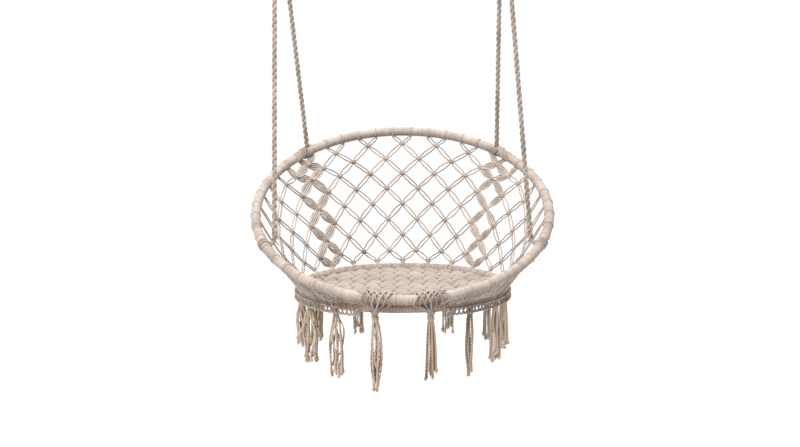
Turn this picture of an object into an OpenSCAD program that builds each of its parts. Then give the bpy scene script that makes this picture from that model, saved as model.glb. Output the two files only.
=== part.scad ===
// Macrame hanging chair: a tilted back hoop and a level seat hoop joined by a knotted net,
// hung by four ropes from two steel rings. Millimetres, +Z up, +Y towards the backrest.
// The origin is the middle of the hang line, where two hooks bear inside the tops of the rings.

/* [Hoops] */
// Outside diameter of the wrapped back hoop
back_hoop_d = 800; // [780:5:820]
// Outside diameter of the wrapped seat hoop
seat_hoop_d = 555; // [545:5:560]
// Diameter of the steel tube inside both hoops
tube_d = 19; // [18:0.5:20]
// Wall of the steel tube
tube_wall = 1.2; // [1:0.1:2]
// Thickness of the cord wrapped round the tubes
wrap_t = 3; // [2.8:0.1:3]
// Tilt of the back hoop above the level seat hoop
hoop_tilt = 26.5; // [26:0.5:28]
// Height from the lower hoop's tube centre to the upper one where they meet at the front
front_rise = 23; // [21:0.5:24]
// Distance that the seat hoop's front sits behind the back hoop's front
front_set = 17; // [17:0.5:19]

/* [Hanging] */
// Distance between the two hanging rings
ring_spacing = 576; // [560:4:600]
// Inside diameter of a hanging ring
ring_id = 44; // [42:1:50]
// Diameter of the rod that a ring is made of
ring_rod = 8; // [7:0.5:9]
// Diameter of a hanging rope
rope_d = 13; // [12:0.5:13]
// Free space between a rope eye and the ring's rod
eye_clearance = 0.4; // [0.3:0.1:1]
// Height from the middle of the back hoop up to the hang line
hang_height = 950; // [900:10:1000]
// Distance that the chair hangs to the right of the middle of its rings
chair_shift = 32; // [0:2:40]
// Distance that the middle of the back hoop sits behind the hang line
chair_back = 30.5; // [0:0.5:60]
// Angle round the back hoop from its rear to a front rope
front_rope_angle = 113.5; // [110:0.5:116]
// Distance that a front rope ends inside the back hoop's centre line
front_rope_inset = 28; // [26:1:32]
// Angle round the back hoop from its rear to a rear rope
rear_rope_angle = 43; // [42.5:0.5:46]

/* [Net] */
// Width of a pair of net cords
cord_pair_w = 8; // [6:0.5:9]
// Width of a bundle in a load column
bundle_w = 14; // [12:0.5:14]
// Thickness of a net cord
net_t = 4; // [3:0.5:4]
// Thickness of a bundle
bundle_t = 7; // [5:0.5:8]

/* [Seat and fringe] */
// Thickness of the woven seat
web_t = 8; // [6:1:10]
// Length of a tassel below its knot
tassel_l = 175; // [120:5:200]
// Diameter of a tassel's lower end
tassel_d = 30; // [20:1:34]

/* [Hidden] */
$fn = 64;
cotton = [0.86, 0.78, 0.70];
rope_tan = [0.70, 0.63, 0.55];
steel = [0.62, 0.63, 0.65];

wrap_r = tube_d / 2 + wrap_t;
back_r = back_hoop_d / 2 - wrap_r;
seat_r = seat_hoop_d / 2 - wrap_r;
back_c = [chair_shift, chair_back, -hang_height];
seat_c = back_pt(180) + [0, front_set + seat_r, -front_rise];
ring_r = (ring_id + ring_rod) / 2;
rod_z = -ring_id - ring_rod / 2;
eye_r = ring_rod / 2 + eye_clearance + rope_d / 2;

// Points on the hoops' centre lines: the angle runs from the rear, + towards +X
function back_pt(a, r = back_r) =
    back_c + r * [sin(a), cos(a) * cos(hoop_tilt), cos(a) * sin(hoop_tilt)];
function seat_pt(a, r = seat_r) = seat_c + r * [sin(a), cos(a), 0];
function unit(v) = v / norm(v);
function mid(a, b) = (a + b) / 2;
function flat(lists) = [for (l = lists) for (v = l) v];

// ---- Net lattice: 24 columns of 15 degrees and 9 rows, knots staggered like bricks ----
column_angle = 15;
net_inset = 4;
anchor_t = 3;
binding_t = 2.3;
// Play between the wound hoop and whatever is tied round it
turn_play = 0.2;
anchor_w = 7;
hoop_gap = 33;
row_height = [0, 362, 318, 272, 229, 185, 140, 95, 50, 22];
last_row = 9;
function net_top(a) = back_pt(a, back_r - net_inset);
function net_foot(a) = seat_pt(a, seat_r + net_inset);
function net_length(a) = norm(net_top(a) - net_foot(a));
function top_height(a) = min(row_height[1], net_length(a) - hoop_gap);
function knot_height(row, a) =
    row == 1 ? top_height(a) : row == 2 ? mid(top_height(a), row_height[3]) : row_height[row];
function net_pt(a, h) = net_foot(a) + h * unit(net_top(a) - net_foot(a));
function knot_pt(k) = net_pt(k[1] * column_angle, knot_height(k[0], k[1] * column_angle));
// The last column of each row: the first six rows only reach part of the way round
reach = [0, 3, 3.5, 4, 4.5, 5, 5.5, 8, 9.5, 10];
function is_knot(k) =
    k[0] >= 1 && k[0] <= last_row && abs(k[1]) <= reach[k[0]];
// Zones of the net: 0 back, 1 load column, 2 side, 3 skirt
function zone(k) = abs(k[1]) < 2.25 ? 0 : abs(k[1]) < 3.75 ? 1 : abs(k[1]) < 7.25 ? 2 : 3;
function zone_knots(z, side) = [
    for (row = [1:last_row])
        for (c = [-12 + (row % 2 == 0 ? 0.5 : 0):1:12])
            if (is_knot([row, c]) && zone([row, c]) == z && (z == 0 || sign(c) == side)) [row, c]
];

// A knot's own directions: along its row, up the net, and out of the net
function knot_across(k) =
    unit(net_pt(k[1] * column_angle + 1, knot_height(k[0], k[1] * column_angle))
        - net_pt(k[1] * column_angle - 1, knot_height(k[0], k[1] * column_angle)));
function knot_up(k) = unit(net_top(k[1] * column_angle) - net_foot(k[1] * column_angle));
function knot_out(k) = unit(cross(knot_across(k), knot_up(k)));
// Half a knot's width and height
thin_knot = [0.75 * cord_pair_w, 0.62 * cord_pair_w];
load_knot = [0.68 * bundle_w, 0.48 * bundle_w];
function half_size(k) = zone(k) == 1 ? load_knot : thin_knot;
// Corner i of a knot: 0 right, 1 top, 2 left, 3 bottom, moved by t along its outward direction
function corner(k, i, t) =
    knot_pt(k) + t * knot_out(k)
    + (i < 2 ? 1 : -1) * half_size(k)[i % 2] * (i % 2 == 0 ? knot_across(k) : knot_up(k));
// Side s of a knot lies between corners s and s + 1: 0 up right, 1 up left, 2 down left, 3 down right
function across_side(k, s) =
    [k[0] + (s < 2 ? -1 : 1), k[1] + (s == 0 || s == 3 ? 0.5 : -0.5)];
function side_vector(k, s) = corner(k, s, 0) - corner(k, (s + 1) % 4, 0);
// Which zone makes the cords between two zones
function makes(z, other) = z == other || z == 0 || z == 2;

// What leaves side s of a knot in zone z: "knot" inside the zone, "zone" to another one,
// "hoop" up to the back hoop, or "none"
function leaves(k, s, z) =
    let (n = across_side(k, s))
    is_knot(n) ? (zone(n) == z ? "knot" : makes(z, zone(n)) ? "zone" : "none")
               : (s < 2 ? "hoop" : "none");
// Where a cord that leaves the zone ends: side w (+1 or -1) of its end face, at depth t.
// At the hoop the end face is parallel to the tube, at another zone to the far knot's side.
function hoop_end(k, s, w, t) =
    let (a = (k[1] + (s == 0 ? 0.25 : -0.25)) * column_angle,
         along = unit(back_pt(a + 1) - back_pt(a - 1)),
         v = knot_pt(k) - back_pt(a),
         away = unit(v - (v * along) * along),
         half = norm(side_vector(k, s)) / 2 * sign(side_vector(k, s) * along))
    back_pt(a) + (wrap_r + anchor_t + cap_gap) * away + w * half * along + t * knot_out(k);
function zone_end(k, s, w, t) =
    let (n = across_side(k, s), far = corner(n, (s + 2) % 4, 0) + corner(n, (s + 3) % 4, 0),
         along = unit(-side_vector(n, (s + 2) % 4)),
         v = knot_pt(k) - far / 2,
         away = unit(v - (v * along) * along),
         half = norm(side_vector(k, s)) / 2)
    far / 2 + cap_gap * away + w * half * along + t * knot_out(k);
function end_point(k, s, z, w, t) =
    leaves(k, s, z) == "hoop" ? hoop_end(k, s, w, t) : zone_end(k, s, w, t);
cap_gap = 0.5;
function index_of(k, knots) = [for (i = [0:len(knots) - 1]) if (knots[i] == k) i][0];
function quad(a, b, c, d) = [[a, b, c], [a, c, d]];

// One closed skin round a zone's knots and cords. Each knot gives 8 points: four corners in
// front, then four behind. Each cord end that leaves the zone gives 4 more.
module net_zone(z, side, t) {
    knots = zone_knots(z, side);
    ends = [
        for (i = [0:len(knots) - 1])
            for (s = [0:3])
                let (to = leaves(knots[i], s, z))
                if (to == "hoop" || to == "zone") [i, s]
    ];
    knot_points = flat([
        for (k = knots)
            [for (depth = [t / 2, -t / 2]) for (i = [0:3]) corner(k, i, depth)]
    ]);
    end_points = flat([
        for (e = ends)
            [for (depth = [t / 2, -t / 2]) for (w = [1, -1]) end_point(knots[e[0]], e[1], z, w, depth)]
    ]);
    first_end = 8 * len(knots);
    knot_faces = flat([
        for (i = [0:len(knots) - 1])
            let (b = 8 * i)
            concat(quad(b + 3, b + 2, b + 1, b), quad(b + 4, b + 5, b + 6, b + 7))
    ]);
    closed_sides = flat([
        for (i = [0:len(knots) - 1])
            for (s = [0:3])
                let (b = 8 * i, n = (s + 1) % 4)
                if (leaves(knots[i], s, z) == "none")
                    quad(b + s, b + n, b + n + 4, b + s + 4)
    ]);
    cord_faces = flat([
        for (i = [0:len(knots) - 1])
            for (s = [0:1])
                if (leaves(knots[i], s, z) == "knot")
                    let (b = 8 * i, n = (s + 1) % 4,
                         o = 8 * index_of(across_side(knots[i], s), knots),
                         p = (s + 2) % 4, q = (s + 3) % 4)
                    bar(b + s, b + n, o + p, o + q, 4, 4)
    ]);
    end_faces = flat([
        for (j = [0:len(ends) - 1])
            let (b = 8 * ends[j][0], s = ends[j][1], n = (s + 1) % 4, o = first_end + 4 * j)
            concat(bar(b + s, b + n, o + 1, o, 4, 2), quad(o, o + 1, o + 3, o + 2))
    ]);
    polyhedron(
        points = concat(knot_points, end_points),
        faces = concat(knot_faces, closed_sides, cord_faces, end_faces)
    );
}
// The four long faces of a cord from front points a, b to front points c, d. The points behind
// them are ab further on at the knot and cd further on at the other end.
function bar(a, b, c, d, ab, cd) = concat(
    quad(a, b, c, d),
    quad(d + cd, c + cd, b + ab, a + ab),
    quad(b, b + ab, c + cd, c),
    quad(a + ab, a, d, d + cd)
);

// ---- Shared shapes ----
// Moves its children to a point of the back hoop, with Z along the tube
module on_back_hoop(a) {
    translate(back_c)
        rotate([hoop_tilt, 0, 0])
            rotate([0, 0, -a])
                translate([0, back_r, 0])
                    rotate([0, 90, 0])
                        children();
}
module on_seat_hoop(a) {
    translate(seat_c)
        rotate([0, 0, -a])
            translate([0, seat_r, 0])
                rotate([0, 90, 0])
                    children();
}
module hoop_tube(r) {
    rotate_extrude($fn = 128)
        translate([r, 0])
            difference() {
                circle(d = tube_d);
                circle(d = tube_d - 2 * tube_wall);
            }
}
module hoop_wrap(r) {
    rotate_extrude($fn = 128)
        translate([r, 0])
            difference() {
                circle(r = wrap_r);
                circle(d = tube_d);
            }
}
// One turn of cord round a tube
module turn(inner_r, w, t) {
    rotate_extrude()
        translate([inner_r, -w / 2])
            square([t, w]);
}
// A round bar between two points
module round_bar(a, b, d) {
    v = b - a;
    translate(a)
        rotate([0, acos(v[2] / norm(v)), atan2(v[1], v[0])])
            cylinder(d = d, h = norm(v));
}

// ---- Rings, eyes and seizings ----
seizing_h = 32;
seizing_wall = 3;
seizing_top = rod_z - eye_r - rope_d / 2 - 0.2;
leg_y = rope_d / 2 + 0.1;
module ring(side) {
    color(steel)
        translate([side * ring_spacing / 2, 0, rod_z + ring_r])
            rotate([90, 0, 0])
                rotate_extrude()
                    translate([ring_r, 0])
                        circle(d = ring_rod);
}
module rope_eye(side) {
    color(rope_tan)
        translate([side * ring_spacing / 2, 0, rod_z])
            rotate([0, 90, 0])
                rotate_extrude()
                    translate([eye_r, 0])
                        circle(d = rope_d);
}
module seizing(side) {
    half = rope_d / 2 + seizing_wall;
    color(cotton)
        translate([side * ring_spacing / 2, 0, seizing_top - seizing_h])
            linear_extrude(seizing_h)
                union() {
                    translate([-half, -leg_y])
                        square([2 * half, 2 * leg_y]);
                    for (s = [-1, 1])
                        translate([0, s * leg_y])
                            circle(r = half);
                }
}

// ---- Ropes and the hitches that end them on the back hoop ----
hitch_turn_w = 6;
hitch_turn_t = 3;
hitch_turn_step = 1.05;
rope_gap = 0.3;
stub_start = 1;
stub_reach = 3;
neck_d = 10;
neck_sink = 1.5;
rope_rings = 12;
rope_sides = 10;
function rope_top(side, y_side) =
    [side * ring_spacing / 2, y_side * leg_y, seizing_top - seizing_h];
function inset(y_side) = y_side < 0 ? front_rope_inset : 0;
function hitch_pt(side, a, y_side) = back_pt(side * a, back_r - inset(y_side));
function rope_line(side, a, y_side) = unit(rope_top(side, y_side) - hitch_pt(side, a, y_side));
// Distance along a rear rope's line at which its flat end stands r off the tube's centre line
function along_rope(side, a, y_side, r) =
    let (tube = unit(back_pt(side * a + 1) - back_pt(side * a - 1)),
         lean = abs(rope_line(side, a, y_side) * tube))
    (r + rope_d / 2 * lean) / sqrt(1 - lean * lean);
function stub_point(side, a, y_side, r) =
    hitch_pt(side, a, y_side) + along_rope(side, a, y_side, r) * rope_line(side, a, y_side);
hitch_r = wrap_r + turn_play + hitch_turn_t;
// Where a rope's flat upper end stays wholly below its seizing
function rope_start(side, a, y_side) =
    let (line = rope_line(side, a, y_side), lean = sqrt(1 - line[2] * line[2]))
    rope_top(side, y_side) - (rope_d / 2 * lean + rope_gap) / line[2] * line;
// A rope's route: points spaced evenly along its taut line
function rope_route(side, a, y_side) =
    let (top = rope_start(side, a, y_side),
         foot = stub_point(side, a, y_side, hitch_r + stub_reach + rope_gap))
    [for (i = [0:rope_rings - 1]) top + (foot - top) * i / (rope_rings - 1)];
module rope(side, a, y_side) {
    route = rope_route(side, a, y_side);
    d = unit(route[rope_rings - 1] - route[0]);
    u = unit(cross(d, [1, 0, 0]));
    v = cross(d, u);
    points = flat([
        for (p = route)
            [for (i = [0:rope_sides - 1])
                p + rope_d / 2 * (cos(i * 360 / rope_sides) * u + sin(i * 360 / rope_sides) * v)]
    ]);
    walls = flat([
        for (j = [0:rope_rings - 2])
            for (i = [0:rope_sides - 1])
                let (n = (i + 1) % rope_sides, b = j * rope_sides, c = b + rope_sides)
                quad(b + i, b + n, c + n, c + i)
    ]);
    last = (rope_rings - 1) * rope_sides;
    color(rope_tan)
        polyhedron(
            points = points,
            faces = concat(
                [[for (i = [rope_sides - 1:-1:0]) i]],
                walls,
                [[for (i = [0:rope_sides - 1]) last + i]]
            )
        );
}
// Turns round the tube, and the rope's own last stretch. A front rope ends inside the hoop, and a
// short neck joins it to the turns.
module hitch(side, a, y_side) {
    color(rope_tan)
        union() {
            for (i = [-1.5:1:1.5])
                on_back_hoop(side * a + i * hitch_turn_step)
                    turn(wrap_r + turn_play, hitch_turn_w, hitch_turn_t);
            round_bar(
                stub_point(side, a, y_side, inset(y_side) > 0 ? -neck_d : wrap_r + stub_start),
                stub_point(side, a, y_side, hitch_r + stub_reach),
                rope_d
            );
            if (inset(y_side) > 0)
                round_bar(
                    back_pt(side * a, back_r - wrap_r - neck_sink),
                    hitch_pt(side, a, y_side),
                    neck_d
                );
        }
}

// ---- Where the net starts on the back hoop, and how it is bound to the seat hoop ----
anchors = flat([
    for (row = [1:last_row])
        for (c = [-12 + (row % 2 == 0 ? 0.5 : 0):1:12])
            if (is_knot([row, c]))
                [for (s = [0:1]) if (!is_knot(across_side([row, c], s))) c + (s == 0 ? 0.25 : -0.25)]
]);
// A hitch takes up this angle each way along the hoop
hitch_half = 2.6;
function near_hitch(a) =
    abs(abs(a) - front_rope_angle) < hitch_half || abs(abs(a) - rear_rope_angle) < hitch_half;
module net_anchors() {
    color(cotton)
        for (c = anchors)
            if (!near_hitch(c * column_angle))
                on_back_hoop(c * column_angle)
                    turn(wrap_r + turn_play, anchor_w, anchor_t - turn_play);
}
module seat_bindings() {
    color(cotton)
        for (c = [-10:1:10])
            on_seat_hoop(c * column_angle)
                turn(wrap_r + turn_play, anchor_w, binding_t);
}

// ---- Lashings that bind the two hoops together at the front ----
lashing_x = 69;
lashing_turns = 6;
lashing_pitch = 6;
lashing_w = 5;
lashing_t = 3;
lashing_play = 2.4;
// Hoop centres in the plane at distance x from the middle, as [y, z]
function back_at(x) =
    let (p = back_pt(180 - asin(x / back_r))) [p[1], p[2]];
function seat_at(x) =
    let (p = seat_pt(180 - asin(x / seat_r))) [p[1], p[2]];
module half_turn() {
    rotate([0, 0, 90])
        rotate_extrude(angle = 180)
            translate([wrap_r + lashing_play, 0])
                square([lashing_t, lashing_w]);
}
// One turn round both hoops: two half rings and two straight runs
module lashing_turn(x) {
    v = seat_at(x) - back_at(x);
    translate([0, back_at(x)[0], back_at(x)[1]])
        rotate([90, 0, 90])
            rotate([0, 0, atan2(v[1], v[0])]) {
                half_turn();
                translate([norm(v), 0, 0])
                    mirror([1, 0, 0])
                        half_turn();
                for (s = [0, 1])
                    mirror([0, s, 0])
                        translate([0, wrap_r + lashing_play, 0])
                            cube([norm(v), lashing_t, lashing_w]);
            }
}
module front_lashing(side) {
    first = lashing_x - (lashing_turns - 1) / 2 * lashing_pitch;
    color(cotton)
        for (i = [0:lashing_turns - 1])
            translate([chair_shift + side * (first + i * lashing_pitch) - lashing_w / 2, 0, 0])
                lashing_turn(first + i * lashing_pitch);
}

// ---- Seat and fringe ----
tassel_angles = [-165, -141, -117, -90, -60, -28, 28, 60, 90, 117, 141, 165];
tassel_knot_d = 20;
tassel_knot_h = 14;
binding_reach = wrap_r + turn_play + binding_t;
lashing_reach = wrap_r + lashing_play + lashing_t;
lashing_half = (lashing_turns - 1) / 2 * lashing_pitch + lashing_w / 2;
notch_play = 1;
// The web stops short of each lashing, which passes round the seat hoop there
module seat_web() {
    notch_w = 2 * (lashing_half + notch_play);
    notch_l = seat_at(lashing_x + lashing_half)[0] + lashing_reach + notch_play - seat_c[1] + seat_r;
    color(cotton)
        difference() {
            translate(seat_c - [0, 0, web_t / 2])
                cylinder(r = seat_r - binding_reach - turn_play, h = web_t, $fn = 128);
            for (side = [-1, 1])
                translate(seat_c + [side * lashing_x - notch_w / 2, -seat_r, -web_t])
                    cube([notch_w, notch_l, 2 * web_t]);
        }
}
// A tassel's knot hangs under the bindings of the seat hoop, or under a lashing
function under_lashing(a) = abs(a) > 90 && abs(seat_r * sin(a)) < lashing_x + lashing_half;
function knot_drop(a) = turn_play + (under_lashing(a) ? lashing_reach : binding_reach);
module tassel(i) {
    translate(seat_pt(tassel_angles[i]) - [0, 0, knot_drop(tassel_angles[i]) + tassel_knot_h])
        color(cotton) {
            cylinder(d = tassel_knot_d, h = tassel_knot_h);
            translate([0, 0, -tassel_l])
                cylinder(d1 = tassel_d, d2 = tassel_knot_d - 4, h = tassel_l);
        }
}

module ring_left() { ring(-1); }
module ring_right() { ring(1); }
module rope_eye_left() { rope_eye(-1); }
module rope_eye_right() { rope_eye(1); }
module seizing_left() { seizing(-1); }
module seizing_right() { seizing(1); }
module rope_front_left() { rope(-1, front_rope_angle, -1); }
module rope_rear_left() { rope(-1, rear_rope_angle, 1); }
module rope_front_right() { rope(1, front_rope_angle, -1); }
module rope_rear_right() { rope(1, rear_rope_angle, 1); }
module back_hoop_tube() { color(steel) translate(back_c) rotate([hoop_tilt, 0, 0]) hoop_tube(back_r); }
module back_hoop_wrap() { color(cotton) translate(back_c) rotate([hoop_tilt, 0, 0]) hoop_wrap(back_r); }
module hitch_front_left() { hitch(-1, front_rope_angle, -1); }
module hitch_rear_left() { hitch(-1, rear_rope_angle, 1); }
module hitch_front_right() { hitch(1, front_rope_angle, -1); }
module hitch_rear_right() { hitch(1, rear_rope_angle, 1); }
module net_back() { color(cotton) net_zone(0, 0, net_t); }
module load_column_left() { color(cotton) net_zone(1, -1, bundle_t); }
module load_column_right() { color(cotton) net_zone(1, 1, bundle_t); }
module net_side_left() { color(cotton) net_zone(2, -1, net_t); }
module net_side_right() { color(cotton) net_zone(2, 1, net_t); }
module net_skirt_left() { color(cotton) net_zone(3, -1, net_t); }
module net_skirt_right() { color(cotton) net_zone(3, 1, net_t); }
module front_lashing_left() { front_lashing(-1); }
module front_lashing_right() { front_lashing(1); }
module seat_hoop_tube() { color(steel) translate(seat_c) hoop_tube(seat_r); }
module seat_hoop_wrap() { color(cotton) translate(seat_c) hoop_wrap(seat_r); }

ring_left();
ring_right();
rope_eye_left();
rope_eye_right();
seizing_left();
seizing_right();
rope_front_left();
rope_rear_left();
rope_front_right();
rope_rear_right();
back_hoop_tube();
back_hoop_wrap();
hitch_front_left();
hitch_rear_left();
hitch_front_right();
hitch_rear_right();
net_anchors();
net_back();
load_column_left();
load_column_right();
net_side_left();
net_side_right();
net_skirt_left();
net_skirt_right();
front_lashing_left();
front_lashing_right();
seat_hoop_tube();
seat_hoop_wrap();
seat_web();
seat_bindings();
tassel(0);  // tassel_1
tassel(1);  // tassel_2
tassel(2);  // tassel_3
tassel(3);  // tassel_4
tassel(4);  // tassel_5
tassel(5);  // tassel_6
tassel(6);  // tassel_7
tassel(7);  // tassel_8
tassel(8);  // tassel_9
tassel(9);  // tassel_10
tassel(10);  // tassel_11
tassel(11);  // tassel_12
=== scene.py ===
import bpy
import numpy as np
from math import cos, sin, radians, pi, sqrt
from mathutils import Matrix, Vector


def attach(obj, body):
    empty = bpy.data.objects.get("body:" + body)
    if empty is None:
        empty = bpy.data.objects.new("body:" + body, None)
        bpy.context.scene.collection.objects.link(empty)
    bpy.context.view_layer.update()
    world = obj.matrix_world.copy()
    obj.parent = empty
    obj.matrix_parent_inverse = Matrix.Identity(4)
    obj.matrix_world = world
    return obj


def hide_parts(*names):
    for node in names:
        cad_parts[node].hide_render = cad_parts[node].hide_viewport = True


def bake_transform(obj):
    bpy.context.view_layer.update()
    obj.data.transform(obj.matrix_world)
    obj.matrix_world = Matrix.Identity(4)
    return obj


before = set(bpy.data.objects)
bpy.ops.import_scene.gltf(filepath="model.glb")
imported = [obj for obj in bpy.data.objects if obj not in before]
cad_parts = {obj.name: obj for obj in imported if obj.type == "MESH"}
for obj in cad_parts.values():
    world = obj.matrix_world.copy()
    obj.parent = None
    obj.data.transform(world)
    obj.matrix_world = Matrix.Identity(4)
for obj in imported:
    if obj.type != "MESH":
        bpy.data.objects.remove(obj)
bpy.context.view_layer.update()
rng = np.random.default_rng(7)

# ---- The part's own sizes and its cords' radii, in metres; the tilt in radians ----
TILT = radians(26.5)
WRAP_R = 0.0125
BACK_R = 0.3875
SEAT_R = 0.265
FRONT_SET = 0.017
FRONT_RISE = 0.023
BACK_C = np.array([0.032, 0.0305, -0.950])
RING_X = 0.288
RING_R = 0.026
RING_ROD_R = 0.004
ROD_Z = -0.048
EYE_R = 0.0109
LEG_Y = 0.0066
SEIZING_TOP = -0.0656
SEIZING_H = 0.032
ROPE_D = 0.013
ROPE_GAP = 0.0003
ROPE_INSET = 0.028
HITCH_R = WRAP_R + 0.0032
STUB_REACH = 0.0033
LASHING_X = 0.069
LASHING_R = WRAP_R + 0.0040
BUNDLE_CORDS = 8
BUNDLE_R = 0.0022
PAIR_R = 0.0019
STRAND_R = 0.0024
LOOP_R = 0.00205
WEB_PITCH = 0.040
WEB_KNOT_PITCH = 0.0385
WEB_LAY = 5

# ---- Places round the hoops, in degrees from the rear ----
FRONT_ROPE = 113.5
REAR_ROPE = 43.0
HITCH_HALF = 2.6
TASSELS = [-165, -141, -117, -90, -60, -28, 28, 60, 90, 117, 141, 165]
LASHING_TASSELS = (1, 12)

# ---- The net: its panels, and each row's height over the seat hoop and reach in columns ----
BACK, LOAD, SIDE, SKIRT = 0, 1, 2, 3
COLUMN = 15.0
ROW_H = [0, 0.362, 0.318, 0.272, 0.229, 0.185, 0.140, 0.095, 0.050, 0.022]
REACH = [0, 3, 3.5, 4, 4.5, 5, 5.5, 8, 9.5, 10]
LAST_ROW = 9
MOST_COLUMNS = 12

# ---- The photograph's view: metres, radians, lens and sensor in mm, aim in pixels ----
CAMERA_DISTANCE = 4.0
CAMERA_PITCH = radians(8.5)
CAMERA_ROLL = radians(0.3)
CAMERA_LENS = 68.0
SENSOR_WIDTH = 36.0
IMAGE_WIDTH = 800
AIM_RIGHT = 2.5
AIM_DOWN = 14.2
FLOOR_HALF = 2000.0
FLOOR_Z = -2.45


def vec(*p):
    return np.array(p, float)


def unit(v):
    v = np.asarray(v, float)
    return v / np.linalg.norm(v, axis=-1, keepdims=True)


def back_pt(a, r=BACK_R):
    a = radians(a)
    return BACK_C + r * vec(sin(a), cos(a) * cos(TILT), cos(a) * sin(TILT))


SEAT_C = back_pt(180) + vec(0, FRONT_SET + SEAT_R, -FRONT_RISE)


def seat_pt(a, r=SEAT_R):
    a = radians(a)
    return SEAT_C + r * vec(sin(a), cos(a), 0)


def net_top(a):
    return back_pt(a, BACK_R - 0.004)


def net_foot(a):
    return seat_pt(a, SEAT_R + 0.004)


def net_len(a):
    return float(np.linalg.norm(net_top(a) - net_foot(a)))


def net_pt(a, h):
    return net_foot(a) + h * unit(net_top(a) - net_foot(a))


def knot_h(row, a):
    first = min(ROW_H[1], net_len(a) - 0.033)
    return first if row == 1 else (first + ROW_H[3]) / 2 if row == 2 else ROW_H[row]


def is_knot(row, c):
    return 1 <= row <= LAST_ROW and abs(c) <= REACH[row]


def columns(row):
    """The columns of a row's knots. The even rows stand half a column over."""
    first = -MOST_COLUMNS + (0.5 if row % 2 == 0 else 0)
    return [c for c in np.arange(first, MOST_COLUMNS + 0.1, 1.0) if is_knot(row, c)]


def zone(c):
    return BACK if abs(c) < 2.25 else LOAD if abs(c) < 3.75 else SIDE if abs(c) < 7.25 else SKIRT


def in_panel(c, z, side):
    return zone(c) == z and (z == BACK or np.sign(c) == side)


def owner(c, upper):
    """The one of two neighbouring knots whose panel makes the pair between them."""
    return c if zone(c) == zone(upper) or zone(c) in (BACK, SIDE) else upper


def seat_weight(h, a):
    """A weight for a point of the net: 1 at the seat hoop, 0 at the back hoop. The cords gather it, but
    their meshes don't keep it.
    """
    return np.clip(1 - (h - 0.028) / max(net_len(a) - 0.058, 0.01), 0, 1)


# ---- Cord meshes: tubes swept along paths, gathered into one mesh for each piece ----
class Cords:
    def __init__(self):
        self.verts, self.faces, self.tones, self.weights, self.count = [], [], [], [], 0

    def sweep(self, path, radius, ref, sides=8, tone=0.0, weight=0.0, pitch=0, lobes=3,
              depth=0.14, closed=False, flat=1.0):
        path = np.asarray(path, float)
        n = len(path)
        if closed:
            tangent = unit(np.roll(path, -1, 0) - np.roll(path, 1, 0))
        else:
            tangent = unit(np.gradient(path, axis=0))
        ref = np.broadcast_to(np.asarray(ref, float), path.shape)
        normal = unit(ref - (ref * tangent).sum(1)[:, None] * tangent)
        binormal = np.cross(tangent, normal)
        steps = np.linalg.norm(np.diff(path, axis=0), axis=1)
        along = np.concatenate([[0], np.cumsum(steps)])
        phi = np.linspace(0, 2 * pi, sides, endpoint=False)[None, :]
        radius = np.broadcast_to(np.asarray(radius, float), (n,))[:, None]
        groove = np.zeros((n, sides))
        if pitch:
            turns = along / pitch
            if closed:
                whole = max(1, round((along[-1] + steps[0]) / pitch))
                turns = turns * whole / (turns[-1] + steps[0] / pitch)
            groove = np.cos(lobes * (phi + 2 * pi * turns[:, None]))
        r = radius * (1 + depth * groove)
        v = path[:, None, :] + (r * np.cos(phi))[..., None] * normal[:, None, :] * flat
        v = v + (r * np.sin(phi))[..., None] * binormal[:, None, :]
        rows = n if closed else n - 1
        i = np.arange(rows)[:, None] * sides
        k = (np.arange(1, rows + 1) % n)[:, None] * sides
        j = np.arange(sides)[None, :]
        m = (j + 1) % sides
        quads = np.stack([i + j, i + m, k + m, k + j], -1).reshape(-1, 4) + self.count
        self.verts.append(v.reshape(-1, 3))
        self.faces.append(quads)
        # Painted shade: the tone follows the twist's relief, darker in the grooves and lighter on the
        # ridges.
        self.tones.append((tone + 0.10 * groove + np.zeros((n, sides))).reshape(-1))
        w = np.broadcast_to(np.asarray(weight, float), (n,))[:, None] + np.zeros((n, sides))
        self.weights.append(w.reshape(-1))
        self.count += n * sides

    def build(self, name, material):
        verts = np.concatenate(self.verts)
        faces = np.concatenate(self.faces)
        mesh = bpy.data.meshes.new(name)
        mesh.vertices.add(len(verts))
        mesh.vertices.foreach_set("co", verts.astype(np.float32).ravel())
        mesh.loops.add(faces.size)
        mesh.loops.foreach_set("vertex_index", faces.astype(np.int32).ravel())
        mesh.polygons.add(len(faces))
        mesh.polygons.foreach_set("loop_start", np.arange(0, faces.size, 4, dtype=np.int32))
        mesh.update(calc_edges=True)
        mesh.validate()
        mesh.polygons.foreach_set("use_smooth", np.ones(len(mesh.polygons), bool))
        tone = mesh.attributes.new("tone", "FLOAT", "POINT")
        tone.data.foreach_set("value", np.concatenate(self.tones).astype(np.float32))
        mesh.materials.append(material)
        obj = bpy.data.objects.new(name, mesh)
        bpy.context.scene.collection.objects.link(obj)
        return obj


def circle(centre, u, v, r, n, start=0.0, stop=2 * pi):
    t = np.linspace(start, stop, n, endpoint=stop - start < 2 * pi - 1e-6)[:, None]
    return centre + r * (np.cos(t) * u + np.sin(t) * v)


def curve(points, n):
    """A smooth line through a few points."""
    p = np.array([points[0], *points, points[-1]], float)
    line = []
    for t in np.linspace(0, len(points) - 1 - 1e-6, n):
        i = int(t)
        f = t - i
        a, b, c, d = p[i:i + 4]
        cubic = f * (3 * b - a - 3 * c + d)
        line.append(b + 0.5 * f * (c - a + f * (2 * a - 5 * b + 4 * c - d + cubic)))
    return np.array(line)


# ---- Materials: cotton with fibres, and steel ----
def node_of(tree, kind, **sockets):
    node = tree.nodes.new(kind)
    for key, value in sockets.items():
        node.inputs[key].default_value = value
    return node


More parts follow.
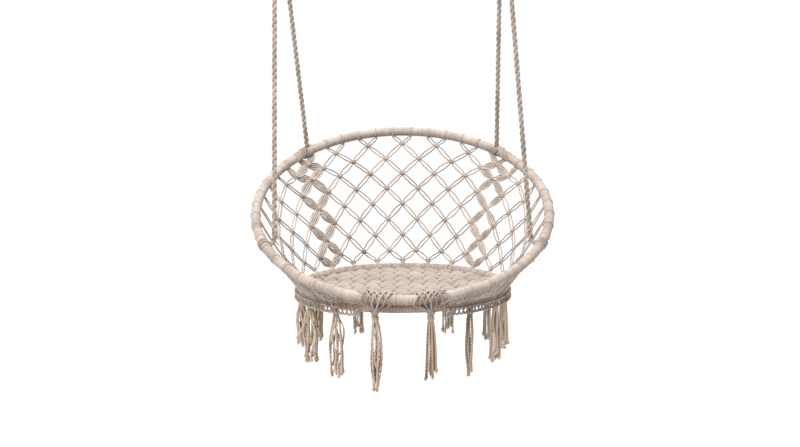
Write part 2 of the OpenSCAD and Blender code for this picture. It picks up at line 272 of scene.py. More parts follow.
def cotton(name, dark, mid, light, fibre=900.0, bump=0.35):
    mat = bpy.data.materials.new(name)
    mat.use_nodes = True
    tree = mat.node_tree
    shader = tree.nodes["Principled BSDF"]
    shader.inputs["Roughness"].default_value = 0.92
    shader.inputs["Specular IOR Level"].default_value = 0.18
    shader.inputs["Sheen Weight"].default_value = 0.15
    shader.inputs["Sheen Roughness"].default_value = 0.6
    place = tree.nodes.new("ShaderNodeTexCoord")
    fine = node_of(tree, "ShaderNodeTexNoise", Scale=fibre, Detail=3.0, Roughness=0.65)
    broad = node_of(tree, "ShaderNodeTexNoise", Scale=18.0, Detail=3.0, Roughness=0.5)
    tone = tree.nodes.new("ShaderNodeAttribute")
    tone.attribute_name = "tone"
    tree.links.new(place.outputs["Object"], fine.inputs["Vector"])
    tree.links.new(place.outputs["Object"], broad.inputs["Vector"])
    sum_fine = tree.nodes.new("ShaderNodeMath")
    sum_fine.operation = "MULTIPLY_ADD"
    sum_fine.inputs[1].default_value = 0.35
    tree.links.new(fine.outputs["Fac"], sum_fine.inputs[0])
    tree.links.new(tone.outputs["Fac"], sum_fine.inputs[2])
    total = tree.nodes.new("ShaderNodeMath")
    total.operation = "MULTIPLY_ADD"
    total.inputs[1].default_value = 0.55
    tree.links.new(broad.outputs["Fac"], total.inputs[0])
    tree.links.new(sum_fine.outputs[0], total.inputs[2])
    ramp = tree.nodes.new("ShaderNodeValToRGB")
    ramp.color_ramp.elements[0].position = 0.18
    ramp.color_ramp.elements[0].color = (*dark, 1)
    ramp.color_ramp.elements[1].position = 0.75
    ramp.color_ramp.elements[1].color = (*light, 1)
    middle = ramp.color_ramp.elements.new(0.45)
    middle.color = (*mid, 1)
    tree.links.new(total.outputs[0], ramp.inputs["Fac"])
    tree.links.new(ramp.outputs["Color"], shader.inputs["Base Color"])
    relief = node_of(tree, "ShaderNodeBump", Strength=bump, Distance=0.0006)
    tree.links.new(fine.outputs["Fac"], relief.inputs["Height"])
    tree.links.new(relief.outputs["Normal"], shader.inputs["Normal"])
    return mat


def steel(name, colour, rough):
    mat = bpy.data.materials.new(name)
    mat.use_nodes = True
    tree = mat.node_tree
    shader = tree.nodes["Principled BSDF"]
    shader.inputs["Base Color"].default_value = (*colour, 1)
    shader.inputs["Metallic"].default_value = 1.0
    place = tree.nodes.new("ShaderNodeTexCoord")
    noise = node_of(tree, "ShaderNodeTexNoise", Scale=420.0, Detail=4.0, Roughness=0.6)
    tree.links.new(place.outputs["Object"], noise.inputs["Vector"])
    wear = tree.nodes.new("ShaderNodeMapRange")
    wear.inputs["To Min"].default_value = rough - 0.08
    wear.inputs["To Max"].default_value = rough + 0.14
    tree.links.new(noise.outputs["Fac"], wear.inputs["Value"])
    tree.links.new(wear.outputs["Result"], shader.inputs["Roughness"])
    relief = node_of(tree, "ShaderNodeBump", Strength=0.08, Distance=0.0003)
    tree.links.new(noise.outputs["Fac"], relief.inputs["Height"])
    tree.links.new(relief.outputs["Normal"], shader.inputs["Normal"])
    return mat


def painted(name, colour):
    mat = steel(name, colour, 0.4)
    mat.node_tree.nodes["Principled BSDF"].inputs["Metallic"].default_value = 0.0
    return mat


M_WRAP = cotton("wrap_cotton", (0.12, 0.088, 0.067), (0.265, 0.221, 0.19), (0.345, 0.302, 0.27))
M_NET = cotton("net_cotton", (0.12, 0.084, 0.064), (0.243, 0.198, 0.168), (0.325, 0.276, 0.243))
M_SEAT = cotton("seat_cotton", (0.09, 0.064, 0.050), (0.205, 0.168, 0.143), (0.27, 0.228, 0.20))
# Painted shade: the seat hoop's winding gets a darker, browner copy of the wrap cotton, standing in for
# the shade under the front rail.
M_SHADED_WRAP = cotton("shaded_wrap_cotton", (0.10, 0.064, 0.042), (0.26, 0.19, 0.142), (0.37, 0.29, 0.225))
M_ROPE = cotton("rope_cotton", (0.085, 0.066, 0.050), (0.232, 0.192, 0.158), (0.33, 0.283, 0.242))
M_FRINGE = cotton("fringe_cotton", (0.12, 0.079, 0.052), (0.29, 0.218, 0.163), (0.41, 0.325, 0.252))
M_STEEL = steel("zinc_steel", (0.26, 0.27, 0.29), 0.34)
M_TUBE = painted("powder_coat", (0.72, 0.70, 0.66))


# ---- Camera, at the photograph's angle ----
def make_camera():
    data = bpy.data.cameras.new("camera")
    data.sensor_width = SENSOR_WIDTH
    data.lens = CAMERA_LENS
    cam = bpy.data.objects.new("camera", data)
    bpy.context.scene.collection.objects.link(cam)
    away = vec(0, -cos(CAMERA_PITCH), sin(CAMERA_PITCH))
    place = BACK_C + CAMERA_DISTANCE * away
    # the hoop's middle lies a little right of the picture's middle and above it
    forward = -away
    right = unit(np.cross(forward, vec(0, 0, 1)))
    up = np.cross(right, forward)
    step = SENSOR_WIDTH / IMAGE_WIDTH / CAMERA_LENS
    aim = unit(forward - AIM_RIGHT * step * right - AIM_DOWN * step * up)
    right = unit(np.cross(aim, vec(0, 0, 1)))
    up = np.cross(right, aim)
    c, s = cos(CAMERA_ROLL), sin(CAMERA_ROLL)
    right, up = c * right - s * up, s * right + c * up
    m = Matrix.Identity(4)
    for i in range(3):
        m[i][0], m[i][1], m[i][2], m[i][3] = right[i], up[i], -aim[i], place[i]
    cam.matrix_world = m
    bpy.context.scene.camera = cam


# ---- Ropes: each a plait of three strands, taut from its seizing to its hitch ----
def rope_top(side, y_side):
    return vec(side * RING_X, y_side * LEG_Y, SEIZING_TOP - SEIZING_H - ROPE_GAP)


def rope_ends(side, a, y_side):
    """A rope's seizing end, its end at the hitch, its direction, and the point it runs towards."""
    top = rope_top(side, y_side)
    hitch = back_pt(side * a, BACK_R - (ROPE_INSET if y_side < 0 else 0))
    d = unit(top - hitch)
    lean = abs(float(unit(back_pt(side * a + 1) - back_pt(side * a - 1)) @ d))
    reach = (HITCH_R + STUB_REACH + ROPE_D / 2 * lean) / sqrt(1 - lean * lean)
    return top, hitch + reach * d, d, hitch


def plait(cords, start, stop, ref, width=0.0036, thick=0.0021, r=0.0030, period=0.052, tone=0.0,
          sides=10, step=0.002):
    length = float(np.linalg.norm(stop - start))
    n = max(8, int(length / step))
    t = np.linspace(0, 1, n)[:, None]
    line = start + (stop - start) * t
    d = unit(stop - start)
    u = unit(ref - (ref @ d) * d)
    v = np.cross(d, u)
    wobble = 1 + 0.08 * np.sin(t * length * 60 + rng.uniform(0, 6))
    for k in range(3):
        phase = 2 * pi * (t * length / period + k / 3)
        path = line + width * wobble * np.sin(phase) * u + thick * np.sin(2 * phase) * v
        cords.sweep(path, r, v, sides, tone + rng.uniform(-0.05, 0.05), pitch=0.012, depth=0.10)


def make_rope(name, side, a, y_side):
    top, foot, d, _ = rope_ends(side, a, y_side)
    cords = Cords()
    plait(cords, top, foot, vec(1, 0.15, 0))
    obj = cords.build(name + "_plait", M_ROPE)
    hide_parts(name)
    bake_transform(obj)


def make_ropes():
    make_rope("rope_front_left", -1, FRONT_ROPE, -1)
    make_rope("rope_rear_left", -1, REAR_ROPE, 1)
    make_rope("rope_front_right", 1, FRONT_ROPE, -1)
    make_rope("rope_rear_right", 1, REAR_ROPE, 1)


# ---- Rings, eyes and seizings ----
def make_ring(side, name):
    cords = Cords()
    centre = vec(side * RING_X, 0, ROD_Z + RING_R)
    path = circle(centre, vec(1, 0, 0), vec(0, 0, 1), RING_R, 96)
    cords.sweep(path, RING_ROD_R, vec(0, 1, 0), 20, closed=True)
    obj = cords.build(name + "_rod", M_STEEL)
    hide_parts(name)
    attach(obj, "hangers")


def make_eye(side, name):
    cords = Cords()
    centre = vec(side * RING_X, 0, ROD_Z)
    t = np.linspace(0, 2 * pi, 120, endpoint=False)[:, None]
    for k in range(3):
        phase = 6 * t + 2 * pi * k / 3
        r = EYE_R + 0.0030 * np.cos(phase)
        path = centre + r * (np.cos(t) * vec(0, 1, 0) + np.sin(t) * vec(0, 0, 1))
        path = path + 0.0030 * np.sin(phase) * vec(1, 0, 0)
        cords.sweep(path, 0.0031, vec(1, 0, 0), 10, rng.uniform(-0.05, 0.05), pitch=0.012, closed=True)
    obj = cords.build(name + "_strands", M_ROPE)
    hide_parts(name)
    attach(obj, "eyes")


def stadium(centre, half, r, n):
    t = np.linspace(0, 2 * pi, n, endpoint=False)
    x = r * np.cos(t)
    y = r * np.sin(t) + half * np.sign(np.sin(t))
    return centre + np.stack([x, y, np.zeros(n)], 1)


def make_seizing(side, name):
    cords = Cords()
    turns = 11
    for i in range(turns):
        z = SEIZING_TOP - 0.0018 - i * (SEIZING_H - 0.0034) / (turns - 1)
        centre = vec(side * RING_X, 0, z)
        cords.sweep(stadium(centre, LEG_Y, 0.0078, 36), 0.00155, vec(0, 0, 1), 8,
                    rng.uniform(-0.08, 0.08), pitch=0.006, closed=True)
    for s in (-1, 1):
        core = np.linspace(vec(side * RING_X, s * LEG_Y, SEIZING_TOP - 0.0008),
                           vec(side * RING_X, s * LEG_Y, SEIZING_TOP - SEIZING_H + 0.0006), 10)
        cords.sweep(core, 0.0064, vec(1, 0, 0), 12, -0.1, pitch=0.03)
    obj = cords.build(name + "_turns", M_WRAP)
    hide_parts(name)
    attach(obj, "eyes")


# ---- Hoops: one cord wound round each tube ----
def hoop_frame(point, a, da=0.5):
    tangent = unit(point(a + da) - point(a - da))
    radial = unit(point(a, 1.0) - point(a, 0.5))
    return tangent, radial, np.cross(tangent, radial)


def make_wrap(name, point, centre_r, body, pitch, nodes, material):
    """The wound cord: a tube whose skin rises over each turn, leaning a little like a wound cord."""
    turns = int(round(2 * pi * centre_r / pitch))
    per_turn, sides = 6, 24
    n = turns * per_turn
    angle = np.linspace(0, 360, n, endpoint=False)
    phi = np.linspace(0, 2 * pi, sides, endpoint=False)[None, :]
    rad = np.radians(angle)[:, None]
    drift = 0.5 * np.sin(3 * rad + 1.0) + 0.3 * np.sin(7 * rad)
    phase = turns * rad / (2 * pi) + drift * 0.6 + phi / (2 * pi)
    swell = rng.normal(0, 1, turns + 4)
    index = np.floor(phase % turns).astype(int)
    ridge = np.abs(np.sin(pi * phase)) ** 0.7
    r = WRAP_R - 0.0010 + 0.0011 * ridge + 0.00022 * swell[index]
    base = np.array([point(a) for a in angle])
    frames = np.array([hoop_frame(point, a) for a in angle])
    radial, side = frames[:, 1], frames[:, 2]
    v = base[:, None, :] + (r * np.cos(phi))[..., None] * radial[:, None, :]
    v = v + (r * np.sin(phi))[..., None] * side[:, None, :]
    cords = Cords()
    i = np.arange(n)[:, None] * sides
    k = ((np.arange(n) + 1) % n)[:, None] * sides
    j = np.arange(sides)[None, :]
    m = (j + 1) % sides
    cords.verts.append(v.reshape(-1, 3))
    cords.faces.append(np.stack([i + j, i + m, k + m, k + j], -1).reshape(-1, 4))
    # Painted shade: the winding's tone is darker in the grooves between turns and on the skin that faces
    # down; the swell of each turn gives it a random tone of its own.
    facing = np.cos(phi) * radial[:, 2:] + np.sin(phi) * side[:, 2:]
    tone = 0.55 * (ridge - 0.72) - 0.20 * np.clip(-facing, 0, 1) + 0.035 * swell[index]
    cords.tones.append(tone.reshape(-1))
    cords.weights.append(np.zeros(n * sides))
    cords.count = n * sides
    obj = cords.build(name, material)
    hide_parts(*nodes)
    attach(obj, body)


# ---- Hitches where the ropes meet the back hoop ----
def make_hitch(name, side, a, y_side, lean, turns, r):
    """Turns round the hoop, the rope's last stretch, its strands let into the turns, and a tail."""
    cords = Cords()
    tangent, radial, out = hoop_frame(back_pt, side * a)
    ring_r = WRAP_R + 0.9 * r
    for i in range(turns):
        shift = (i - (turns - 1) / 2) * 2.3 * r
        centre = back_pt(side * a) + shift * tangent
        t = np.linspace(0, 2 * pi, 36, endpoint=False)[:, None]
        path = centre + ring_r * (np.cos(t) * radial + np.sin(t) * out)
        path = path + lean * ring_r * np.sin(t + 0.6) * tangent
        cords.sweep(path, r, tangent, 9, rng.uniform(-0.14, 0.0), pitch=0.008, closed=True)
    _, foot, d, hitch = rope_ends(side, a, y_side)
    end = hitch + (0.004 if y_side < 0 else WRAP_R * 0.7) * d
    plait(cords, foot - 0.0003 * d, end, vec(1, 0.15, 0), tone=-0.14)
    if y_side < 0:
        for k in (-1, 0, 1):
            grip = back_pt(side * a + 0.9 * k) - (WRAP_R + 0.001) * radial
            beside = end + 0.003 * k * tangent
            path = curve([beside + 0.010 * d, beside, grip - 0.004 * d, grip + 0.003 * radial], 14)
            cords.sweep(path, 0.0030, out, 9, -0.16, pitch=0.010)
    if y_side > 0:
        add_diagonal(cords, side, a)
    for k in range(4):
        s = np.linspace(0, 1, 8)[:, None]
        path = end + s * (-0.012 * radial - vec(0, 0, 0.015)) + 0.003 * rng.normal(0, 1, 3) * s
        cords.sweep(path, 0.0016 * (1 - 0.7 * s[:, 0]), out, 6, rng.uniform(-0.2, 0))
    obj = cords.build(name + "_turns", M_WRAP)
    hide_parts(name)
    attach(obj, "chair")


def add_diagonal(cords, side, a):
    """Cords that cross the hoop's front from a rear rope's end to the top of its load column."""
    t = np.linspace(0, 1, 22)
    for k in range(6):
        path = []
        for s in t:
            angle = side * (a - 2.0 + 0.75 * k + 6.5 * s)
            _, radial, out = hoop_frame(back_pt, angle)
            front = out if out[2] > 0 else -out
            turn = radians(12 + 172 * s)
            around = cos(turn) * radial + sin(turn) * front
            path.append(back_pt(angle) + (WRAP_R + 0.0030) * around)
        cords.sweep(path, 0.0019, front, 8, rng.uniform(-0.12, 0.04), pitch=0.009)


# ---- The net ----
def knot_frame(row, c):
    a = c * COLUMN
    h = knot_h(row, a)
    p = net_pt(a, h)
    across = unit(net_pt(a + 1, knot_h(row, a + 1)) - net_pt(a - 1, knot_h(row, a - 1)))
    up = unit(net_top(a) - net_foot(a))
    return p, across, up, unit(np.cross(across, up)), float(seat_weight(h, a))


def add_knot(cords, row, c, big):
    """A square knot: two turns round the cords, a loop at each side and a crossing strand in front."""
    p, across, up, out, w = knot_frame(row, c)
    k = 1.35 if big else 1.0
    half, tall, deep, r = 0.0052 * k, 0.0036 * k, 0.0030 * k, 0.0021
    tone = rng.uniform(-0.08, 0.05)
    t = np.linspace(0, 2 * pi, 16, endpoint=False)[:, None]
    for s in (-1, 1):
        path = p + half * np.cos(t) * across + deep * np.sin(t) * out
        path = path + (s * 0.0019 * k + 0.0012 * s * np.cos(t)) * up
        cords.sweep(path, r, up, 7, tone + rng.uniform(-0.05, 0.05), w, pitch=0.006, closed=True)
    bow = np.linspace(-1, 1, 9)[:, None]
    for s in (-1, 1):
        path = p + s * (half + 0.0008 - 0.0016 * bow * bow) * across + tall * 1.25 * bow * up
        path = path + deep * 0.7 * out
        cords.sweep(path, r * 0.85, out, 6, tone, w)
    path = p + half * bow * across - tall * 0.8 * bow * up + (deep + 0.0012 * (1 - bow * bow)) * out
    cords.sweep(path, r, out, 7, tone + 0.05, w, pitch=0.006)


def add_pair(cords, p0, p1, out, w0, w1, count, big, tone=0.0):
    """Cords side by side between two points: a loose pair, or the flat bundle of a load column."""
    d = p1 - p0
    length = float(np.linalg.norm(d))
    lateral = unit(np.cross(d, out))
    n = max(8, int(length / 0.0022))
    t = np.linspace(0, 1, n)[:, None]
    lens = np.sin(pi * t) ** 0.8
    bow = rng.uniform(0.0018, 0.0040) * min(1.0, length / 0.05)
    slack = rng.normal(0, 0.0012)
    twist = rng.uniform(-1.4, 1.4) * (t - 0.5) if big else 0 * t
    for k in range(count):
        place = k - (count - 1) / 2
        if big:
            across = place * (0.0011 + 0.0018 * lens * rng.uniform(0.95, 1.05))
            layer = 0.0022 * ((k % 2) * 2 - 1) * (1 - 0.9 * abs(place) / count)
            behind = layer * lens + 0.0004 * place
            offset = across * np.cos(twist) - behind * np.sin(twist)
            depth = across * np.sin(twist) + behind * np.cos(twist)
            r = BUNDLE_R
        else:
            offset = 2 * place * (0.0024 + bow * lens * rng.uniform(0.85, 1.15))
            depth = slack * lens + rng.normal(0, 0.0004)
            r = PAIR_R
        wander = 0.0005 * np.sin(2 * pi * t * rng.uniform(1, 2.5) + rng.uniform(0, 6)) * np.sin(pi * t)
        path = p0 + d * t + (offset + wander) * lateral + depth * out
        w = (w0 + (w1 - w0) * t)[:, 0]
        shade = tone + rng.uniform(-0.10, 0.08) + 0.15 * big
        cords.sweep(path, r, out, 8, shade, w, pitch=0.011, depth=0.13)


def hoop_anchor(c, row_c, row):
    """The point on the back hoop's skin that faces the knot its cords run to."""
    a = c * COLUMN
    tangent = hoop_frame(back_pt, a)[0]
    p = knot_frame(row, row_c)[0]
    v = p - back_pt(a)
    away = unit(v - (v @ tangent) * tangent)
    return back_pt(a) + (WRAP_R + 0.0025) * away


def make_net(name, z, side):
    """One panel of the net: its knots, and the pairs from each knot up to its neighbours or the hoop."""
    cords = Cords()
    for row in range(1, LAST_ROW + 1):
        for c in columns(row):
            mine = in_panel(c, z, side)
            p, _, _, out, w = knot_frame(row, c)
            if mine:
                add_knot(cords, row, c, z == LOAD)
            for s in (1, -1):
                upper = c + 0.5 * s
                if is_knot(row - 1, upper):
                    if not in_panel(owner(c, upper), z, side):
                        continue
                    q, _, _, out_q, w_q = knot_frame(row - 1, upper)
                    big = zone(c) == LOAD and zone(upper) == LOAD
                    d = unit(q - p)
                    add_pair(cords, p + 0.003 * d, q - 0.003 * d, unit(out + out_q), w, w_q,
                             BUNDLE_CORDS if big else 2, big)
                elif mine:
                    q = hoop_anchor(c + 0.25 * s, c, row)
                    add_pair(cords, p, q, out, w, 0.0, 6 if z == LOAD else 2, z == LOAD)
            if mine and row == LAST_ROW:
                a = c * COLUMN
                foot = seat_pt(a, SEAT_R + 0.003) + vec(0, 0, WRAP_R + 0.001)
                add_pair(cords, p, foot, out, w, 1.0, 4 if z == LOAD else 3, True)
    if z == SKIRT:
        add_skirt_cords(cords, side)
    obj = cords.build(name + "_cords", M_NET)
    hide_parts(name)
    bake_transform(obj)


def add_skirt_cords(cords, side):
    """The dense fringe of short cords under the front rail, each with a small knot."""
    for a in np.arange(112, 161, 2.3):
        b = side * (a + rng.uniform(-0.5, 0.5))
        length = net_len(b)
        top, foot = net_pt(b, length - WRAP_R + 0.002), net_pt(b, WRAP_R)
        out = knot_frame(LAST_ROW, b / COLUMN)[3]
        shift = rng.uniform(-0.002, 0.002) * out - 0.003 * out
        add_pair(cords, top + shift, foot + shift, out, 0.0, 1.0, 2, False, 0.14)
        h = length * rng.uniform(0.35, 0.6)
        p, w = net_pt(b, h) + shift, float(seat_weight(h, b))
        t = np.linspace(0, 2 * pi, 12, endpoint=False)[:, None]
        up = unit(top - foot)
        path = p + 0.0036 * np.cos(t) * unit(np.cross(up, out)) + 0.0030 * np.sin(t) * out
        for s in (-1, 1):
            cords.sweep(path + s * 0.0017 * up, 0.0018, up, 6, rng.uniform(0.0, 0.16), w, closed=True)


def make_anchors():
    """Lark's heads: the turns of each pair of cords round the back hoop."""
    cords = Cords()
    places = set()
    for row in range(1, LAST_ROW + 1):
        for c in columns(row):
            for s in (1, -1):
                if not is_knot(row - 1, c + 0.5 * s):
                    places.add((c + 0.25 * s, row, c))
    for place, row, c in sorted(places):
        a = place * COLUMN
        if abs(abs(a) - FRONT_ROPE) < HITCH_HALF or abs(abs(a) - REAR_ROPE) < HITCH_HALF:
            continue
        tangent, radial, out = hoop_frame(back_pt, a)
        wide = 4 if zone(c) == LOAD else 2
        for k in range(wide):
            centre = back_pt(a) + (k - (wide - 1) / 2) * 0.0034 * tangent
            path = circle(centre, radial, out, WRAP_R + 0.0001, 28)
            cords.sweep(path, 0.0015, tangent, 7, rng.uniform(-0.06, 0.06), pitch=0.007, closed=True)
        inner = hoop_anchor(place, c, row) + 0.0004 * radial
        bar = inner + np.linspace(-1, 1, 8)[:, None] * 0.0017 * wide * tangent
        cords.sweep(bar, 0.0018, radial, 7, rng.uniform(-0.1, 0.05), pitch=0.007)
    obj = cords.build("net_anchors_larks_heads", M_WRAP)
    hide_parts("net_anchors")
    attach(obj, "chair")


# ---- Lashings that bind the hoops together at the front ----
def make_lashing(side, name):
    """Cords over both hoops, spread over the rail and drawn together under the seat hoop."""
    cords = Cords()
    for i in range(10):
        over, under = (i - 4.5) * 0.0072, (4.5 - i) * 0.0018 + rng.uniform(-0.001, 0.001)
        slant = 0.011 * (-1) ** i
        b = back_pt(180 - np.degrees(np.arcsin((LASHING_X + over) / BACK_R)))
        s = seat_pt(180 - np.degrees(np.arcsin((LASHING_X + under) / SEAT_R)))
        b = vec(BACK_C[0] + side * (LASHING_X + over), b[1], b[2])
        s = vec(BACK_C[0] + side * (LASHING_X + under), s[1], s[2])
        d = unit(vec(0, s[1] - b[1], s[2] - b[2]))
        q = np.cross(vec(1, 0, 0), d)
        r = LASHING_R + 0.0011 * (i % 3)
        t = np.linspace(0, pi, 16)[:, None]
        far = s + r * (np.sin(t) * d - np.cos(t) * q)
        near = b + r * (-np.sin(t) * d + np.cos(t) * q) + slant * np.cos(t) * vec(1, 0, 0)
        run = np.linspace(0.12, 0.88, 7)[:, None]
        path = np.concatenate([far, far[-1] + run * (near[0] - far[-1]),
                               near, near[-1] + run * (far[0] - near[-1])])
        cords.sweep(path, 0.0019, vec(1, 0, 0), 8, rng.uniform(-0.16, 0.04), pitch=0.009, closed=True)
    obj = cords.build(name + "_turns", M_NET)
    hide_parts(name)
    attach(obj, "chair")


# ---- The woven seat and its bindings ----
def make_seat():
    """Rows of flat bundles, drawn together at knots that stand in columns, over a layer across."""
    cords = Cords()
    inner = SEAT_R - WRAP_R + 0.001
    for j in range(int(2 * inner / WEB_PITCH) + 1):
        for k in range(WEB_LAY):
            across = (k + 0.5) / WEB_LAY - 0.5
            y = -inner + (j + 0.5 + across) * WEB_PITCH
            half = sqrt(max(inner * inner - y * y, 0)) - 0.001
            if half < 0.02:
                continue
            x = np.arange(-half, half, 0.0022)
            knots = x / WEB_KNOT_PITCH + 0.09 * (-1) ** j
            knot = np.abs(np.cos(pi * (knots + 0.5))) ** 6
            sag = 0.0034 * np.cos(2 * pi * knots)
            narrow = -across * WEB_PITCH * 0.30 * knot
            z = 0.0032 * (1 - 3.2 * across * across) - 0.0034 * knot + 0.0012 * across
            y_line = np.clip(y + sag + narrow, -inner, inner)
            r = 0.0046 * (1 - 0.12 * knot)
            path = SEAT_C + np.stack([x, y_line, z - 0.0012], 1)
            # Painted shade: the lowest cord of each row, beside the raised edge of the row before it, is
            # darker.
            tone = rng.uniform(-0.05, 0.05) - 0.10 * (k == 0)
            cords.sweep(path, r, vec(0, 0, 1), 8, tone, flat=0.8, pitch=0.017, depth=0.09)
    # The layer across lies under the rows; its darker tone is painted shade.
    for x in np.arange(-inner + 0.006, inner, 0.0098):
        half = sqrt(max(inner * inner - x * x, 0)) - 0.001
        if half < 0.02:
            continue
        y = np.arange(-half, half, 0.0045)
        path = SEAT_C + np.stack([x + 0.0008 * np.sin(2 * pi * y / 0.03), y, 0 * y - 0.0055], 1)
        cords.sweep(path, 0.0030, vec(0, 0, 1), 7, rng.uniform(-0.26, -0.12), pitch=0.014)
    obj = cords.build("seat_web_weave", M_SEAT)
    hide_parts("seat_web")
    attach(obj, "seat")


def make_bindings():
    """Loops that take the seat's cords over the seat hoop, and the fringe of knots below its sides."""
    cords = Cords()
    for a in np.arange(0, 360, 2.0):
        tangent, radial, up = hoop_frame(seat_pt, a)
        if abs(a - 180) < 24:
            continue
        for k in (-1, 1):
            centre = seat_pt(a) + k * 0.0021 * tangent
            t = np.linspace(-1.9, 1.9, 18)[:, None] + pi / 2 + 0.6
            axis_up = up if up[2] > 0 else -up
            path = centre + (WRAP_R + 0.0008) * (np.cos(t) * radial + np.sin(t) * axis_up)
            path = path + 0.0016 * np.sin(t * 1.5 + a) * tangent
            cords.sweep(path, 0.0018, tangent, 7, rng.uniform(-0.08, 0.06), pitch=0.010)
    for side in (-1, 1):
        add_fringe_knots(cords, side)
    obj = cords.build("seat_bindings_loops", M_NET)
    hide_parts("seat_bindings")
    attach(obj, "seat")


def add_fringe_knots(cords, side):
    """Two zigzag cords round the outside of the seat hoop, with a knot wherever they cross."""
    reach = SEAT_R + WRAP_R + 0.0018
    angles = np.arange(84, 157, 2.5)
    for phase in (0, 1):
        points = []
        for i, a in enumerate(angles):
            drop = -0.004 - 0.016 * ((i + phase) % 2) + rng.uniform(-0.002, 0.002)
            points.append(seat_pt(side * a, reach + 0.0012 * phase) + vec(0, 0, drop))
        cords.sweep(curve(points, 5 * len(points)), 0.0020, vec(0, 0, 1), 8, -0.10, pitch=0.008)
    for i, a in enumerate(angles):
        for row in (0, 1):
            p = seat_pt(side * a, reach + 0.001) + vec(0, 0, -0.004 - 0.016 * ((i + row) % 2))
            tangent, radial, _ = hoop_frame(seat_pt, side * a)
            t = np.linspace(0, 2 * pi, 12, endpoint=False)[:, None]
            path = p + 0.0036 * np.cos(t) * tangent + 0.0024 * np.sin(t) * radial
            cords.sweep(path, 0.0021, vec(0, 0, 1), 7, rng.uniform(-0.12, 0.08), closed=True)


# ---- Tassels ----
def tassel_style(index):
    """Strands, length, waviness, widening and loops, as each tassel hangs."""
    styles = {1: (8, 0.178, 0.0060, 0.0100, 0), 12: (8, 0.150, 0.0012, 0.0125, 0),
              11: (7, 0.160, 0.0060, 0.0070, 0), 2: (11, 0.160, 0.0150, 0.0150, 1),
              3: (12, 0.145, 0.0180, 0.0190, 3), 4: (11, 0.130, 0.0150, 0.0160, 2),
              10: (14, 0.142, 0.0070, 0.0170, 0), 9: (12, 0.135, 0.0070, 0.0150, 0)}
    return styles.get(index, (9, 0.150, 0.0060, 0.0130, 0))


def make_tassel(index, angle):
    cords = Cords()
    strands, length, wave, flare, loops = tassel_style(index)
    body = "chair" if index in LASHING_TASSELS else "seat"
    drop = WRAP_R + (0.0056 if body == "chair" else 0.0015)
    top = seat_pt(angle) - vec(0, 0, drop)
    tangent, radial, _ = hoop_frame(seat_pt, angle)
    for k, r in enumerate((0.0062, 0.0078, 0.0070, 0.0056)):
        centre = top - vec(0, 0, 0.0030 + 0.0035 * k)
        t = np.linspace(0, 2 * pi, 20, endpoint=False)[:, None]
        path = centre + r * (np.cos(t) * tangent + np.sin(t) * radial)
        path = path + 0.0020 * np.sin(t + k) * vec(0, 0, 1)
        cords.sweep(path, 0.0024, vec(0, 0, 1), 8, rng.uniform(-0.1, 0.08), pitch=0.008, closed=True)
    if body == "seat":
        for s in (-1, 1):
            centre = seat_pt(angle) + s * 0.0026 * tangent
            path = circle(centre, radial, vec(0, 0, 1), WRAP_R + 0.0016, 28)
            cords.sweep(path, 0.0020, tangent, 8, rng.uniform(-0.1, 0.05), pitch=0.008, closed=True)
    start = top - vec(0, 0, 0.0125)
    # Painted light and shade: tassels 1, 11 and 12 at the front are darker, and tassels 9 and 10 on the
    # right are much lighter, to cancel the shade the lamps leave on them; the rest are a little lighter.
    tone = -0.06 if index in (1, 11, 12) else 0.34 if index in (9, 10) else 0.06
    for k in range(strands):
        turn = 2 * pi * (k + 0.3 * rng.uniform(-1, 1)) / strands
        share = rng.uniform(0.84, 1.0) if k else 1.0
        if index == 1 and k == 2:
            share = 0.66
        add_strand(cords, start, turn, length * share, wave, flare, tangent, radial, tone)
    for k in range(loops):
        add_loop(cords, start, length * rng.uniform(0.45, 0.7), flare, tangent, radial)
    obj = cords.build("tassel_%d_strands" % index, M_FRINGE)
    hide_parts("tassel_%d" % index)
    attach(obj, body)


def add_strand(cords, start, turn, length, wave, flare, tangent, radial, tone):
    """One strand: a twisted cord that waves as it hangs, swells at its end and frays."""
    t = np.linspace(0, 1, 46)[:, None]
    u = cos(turn) * tangent + 0.6 * sin(turn) * radial
    v = -sin(turn) * tangent + cos(turn) * radial
    profile = np.sqrt(t) if flare > 0.011 else np.sin(pi * t ** 0.8) ** 0.8
    spread = 0.0042 + flare * profile * rng.uniform(0.55, 1.05)
    swing = np.sin(pi * t * rng.uniform(1.0, 1.5)) * np.sin(2 * pi * t * rng.uniform(0.6, 1.3) + turn)
    curl = wave * rng.uniform(-1, 1) * swing
    path = start + (spread + wave * 0.7 * np.sin(pi * t) * rng.uniform(-0.4, 1)) * u
    path = path + curl * v - vec(0, 0, 1) * length * t
    swell = np.interp(t[:, 0], [0, 0.90, 0.97, 1.0], [1.0, 1.0, 1.55, 1.35])
    tone += rng.uniform(-0.12, 0.12)
    cords.sweep(path, STRAND_R * swell, u, 10, tone, pitch=0.0105, lobes=2, depth=0.20)
    for _ in range(16):
        s = np.linspace(0, 1, 5)[:, None]
        lean = vec(*rng.normal(0, 0.0032, 2), -rng.uniform(0.004, 0.012))
        tip = path[-1] + vec(*rng.normal(0, 0.0018, 2), 0.004)
        fibre = tip + s * lean + s * s * vec(*rng.normal(0, 0.0016, 2), 0)
        cords.sweep(fibre, 0.00085 * (1 - 0.75 * s[:, 0]), u, 4, tone + rng.uniform(-0.05, 0.2))


def add_loop(cords, start, length, flare, tangent, radial):
    """A strand that turns back up into its knot."""
    sway = rng.uniform(-0.6, 0.6)
    u = tangent * cos(sway) + radial * sin(sway)
    wide, lean = flare * rng.uniform(0.7, 1.2), flare * rng.uniform(-0.5, 0.5)
    down = vec(0, 0, -length)
    path = curve([start,
                  start + 0.35 * down + (lean - wide) * u,
                  start + 0.8 * down + (lean - 0.7 * wide) * u,
                  start + down + lean * u,
                  start + 0.8 * down + (lean + 0.7 * wide) * u,
                  start + 0.35 * down + (lean + wide) * u,
                  start + 0.002 * u], 60)
    cords.sweep(path, LOOP_R, radial, 9, rng.uniform(-0.14, 0.06), pitch=0.0105, lobes=2, depth=0.20)


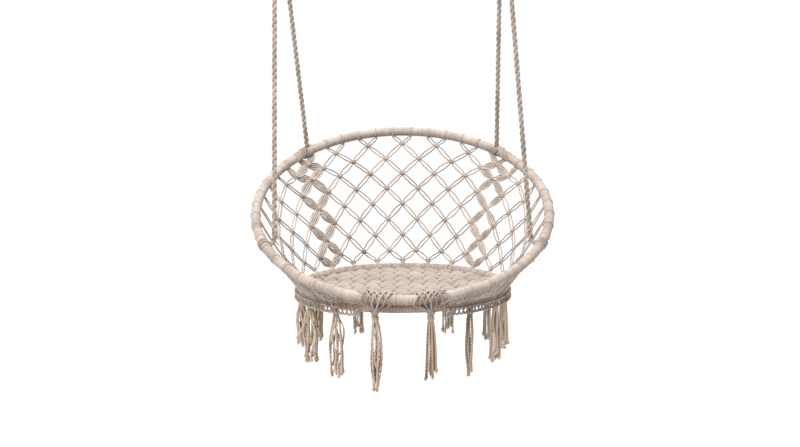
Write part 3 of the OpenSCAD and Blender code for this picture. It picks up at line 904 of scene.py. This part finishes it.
# ---- Floor and light ----
def make_stage():
    mesh = bpy.data.meshes.new("floor")
    corners = [(-1, -1), (1, -1), (1, 1), (-1, 1)]
    points = [(FLOOR_HALF * x, FLOOR_HALF * y, FLOOR_Z) for x, y in corners]
    mesh.from_pydata(points, [], [(0, 1, 2, 3)])
    floor = bpy.data.objects.new("floor", mesh)
    bpy.context.scene.collection.objects.link(floor)
    mat = bpy.data.materials.new("floor_paint")
    mat.use_nodes = True
    tree = mat.node_tree
    shader = tree.nodes["Principled BSDF"]
    shader.inputs["Base Color"].default_value = (0.92, 0.92, 0.92, 1)
    shader.inputs["Roughness"].default_value = 0.95
    shader.inputs["Specular IOR Level"].default_value = 0.1
    mesh.materials.append(mat)
    world = bpy.data.worlds.new("studio")
    bpy.context.scene.world = world
    world.use_nodes = True
    back = world.node_tree.nodes["Background"]
    back.inputs["Color"].default_value = (1.0, 1.0, 1.0, 1)
    back.inputs["Strength"].default_value = 1.12
    add_area("key", (-1.6, -1.8, 1.4), (0.03, 0.0, -1.0), 1.6, 170, (1.0, 0.985, 0.96))
    add_area("top", (0.4, 0.3, 1.9), (0.03, 0.0, -1.0), 2.2, 150, (1.0, 1.0, 1.0))


def add_area(name, place, target, size, power, colour):
    data = bpy.data.lights.new(name, "AREA")
    data.shape = "SQUARE"
    data.size = size
    data.energy = power
    data.color = colour
    lamp = bpy.data.objects.new(name, data)
    lamp.location = place
    lamp.rotation_euler = (Vector(target) - Vector(place)).to_track_quat("-Z", "Y").to_euler()
    bpy.context.scene.collection.objects.link(lamp)


def paint_tubes():
    for name in ("back_hoop_tube", "seat_hoop_tube"):
        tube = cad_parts[name]
        tube.data.materials.clear()
        tube.data.materials.append(M_TUBE)


def main():
    make_camera()
    make_ropes()
    for side, word in ((-1, "left"), (1, "right")):
        make_ring(side, "ring_" + word)
        make_eye(side, "rope_eye_" + word)
        make_seizing(side, "seizing_" + word)
        make_hitch("hitch_front_" + word, side, FRONT_ROPE, -1, 0.12, 5, 0.0018)
        make_hitch("hitch_rear_" + word, side, REAR_ROPE, 1, 0.45, 5, 0.0020)
        make_lashing(side, "front_lashing_" + word)
        make_net("load_column_" + word, LOAD, side)
        make_net("net_side_" + word, SIDE, side)
        make_net("net_skirt_" + word, SKIRT, side)
    make_net("net_back", BACK, 0)
    make_wrap("back_hoop_winding", back_pt, BACK_R, "chair", 0.0031, ["back_hoop_wrap"], M_WRAP)
    make_wrap("seat_hoop_winding", seat_pt, SEAT_R, "seat", 0.0034, ["seat_hoop_wrap"], M_SHADED_WRAP)
    make_anchors()
    make_seat()
    make_bindings()
    for i, angle in enumerate(TASSELS):
        make_tassel(i + 1, angle)
    paint_tubes()
    make_stage()
    bpy.context.scene.view_settings.view_transform = "Standard"


main()
